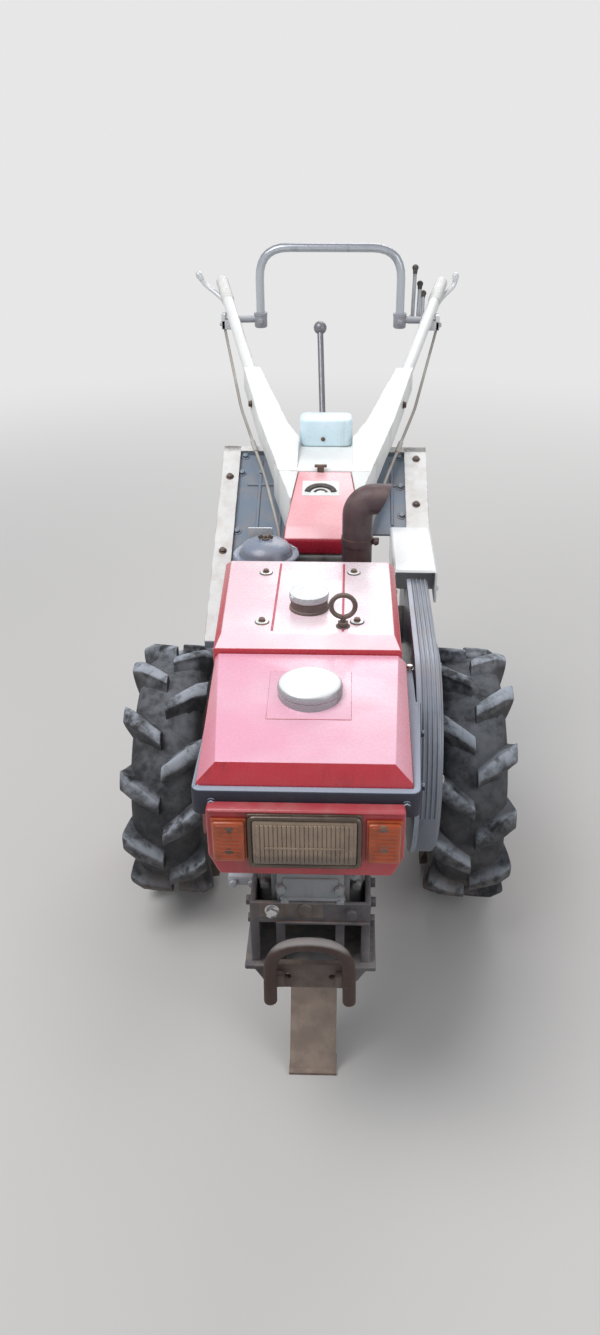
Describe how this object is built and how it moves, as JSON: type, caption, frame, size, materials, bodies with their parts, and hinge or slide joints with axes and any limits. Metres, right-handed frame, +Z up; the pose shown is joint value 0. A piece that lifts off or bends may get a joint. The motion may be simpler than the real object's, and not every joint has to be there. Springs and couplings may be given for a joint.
{
  "type": "hand tractor",
  "caption": "Two-wheel walking tractor with a water-cooled engine, lugged tyres, long handles, a front stand and a rear hitch.",
  "frame": {"origin": "on the ground, under the middle of the box round the whole tractor", "axes": "+Z up, -Y towards the lamps at the front, +X towards the belt cover"},
  "size_m": [0.862, 1.987, 1.358],
  "materials": {
    "tyre": "dusty black rubber",
    "wheel_paint": "worn red paint with mud",
    "grey_casting": "oily grey casting",
    "blue_grey_sheet": "worn blue-grey paint",
    "rusty_steel": "dark rusty steel",
    "stand_steel": "grey-brown bare steel",
    "red_paint": "red paint, bleached on top",
    "bright_cap": "dull bright metal",
    "chrome": "worn chrome",
    "lamp_glass": "fluted lamp glass",
    "orange_lens": "orange lens",
    "exhaust_steel": "brown-black rusty steel",
    "silver_paint": "pale silver paint",
    "cream_paint": "chipped cream-white paint",
    "white_plastic": "pale blue-white plastic",
    "grip_plastic": "worn pale grip"
  },
  "bodies": {
    "chassis": {"air_cleaner": "blue_grey_sheet", "belt_cover": "blue_grey_sheet", "belt_hood": "silver_paint", "control_levers": "grey_casting", "control_rods": "rusty_steel", "cylinder_head": "grey_casting", "engine_block": "grey_casting", "engine_rail_left": "blue_grey_sheet", "engine_rail_right": "blue_grey_sheet", "exhaust_pipe": "exhaust_steel", "front_bumper": "rusty_steel", "front_frame": "rusty_steel", "front_hitch": "rusty_steel", "fuel_cap": "bright_cap", "fuel_tank": "red_paint", "gear_lever": "chrome", "handle_frame": "cream_paint", "handle_grip_left": "grip_plastic", "handle_grip_right": "grip_plastic", "handle_hoop": "silver_paint", "handle_tube_left": "cream_paint", "handle_tube_right": "cream_paint", "headlamp_lens": "lamp_glass", "headlamp_rim": "chrome", "hoop_sockets": "grey_casting", "indicator_left": "orange_lens", "indicator_right": "orange_lens", "lamp_panel": "red_paint", "lifting_hook": "rusty_steel", "link_cover": "red_paint", "radiator_cap": "bright_cap", "radiator_cover": "red_paint", "rear_hitch": "grey_casting", "splash_guard": "blue_grey_sheet", "stand_bracket": "rusty_steel", "steering_lever_left": "chrome", "steering_lever_right": "chrome", "tank_band": "blue_grey_sheet", "tool_box": "white_plastic", "transmission_case": "grey_casting"},
    "wheel_left_body": {"tyre_left": "tyre", "wheel_left": "wheel_paint"},
    "wheel_right_body": {"tyre_right": "tyre", "wheel_right": "wheel_paint"},
    "front_stand_body": {"stand_leg": "stand_steel"}
  },
  "joints": [
    {"name": "wheel_left_spin", "type": "hinge", "parent": "chassis", "child": "wheel_left_body", "pos_m": [-0.341, -0.2215, 0.3], "axis": [1, 0, 0], "continuous": true},
    {"name": "wheel_right_spin", "type": "hinge", "parent": "chassis", "child": "wheel_right_body", "pos_m": [0.341, -0.2215, 0.3], "axis": [1, 0, 0], "continuous": true},
    {"name": "front_stand_fold", "type": "hinge", "parent": "chassis", "child": "front_stand_body", "pos_m": [0, -0.6715, 0.3], "axis": [1, 0, 0], "range_deg": [0, 100]}
  ]
}
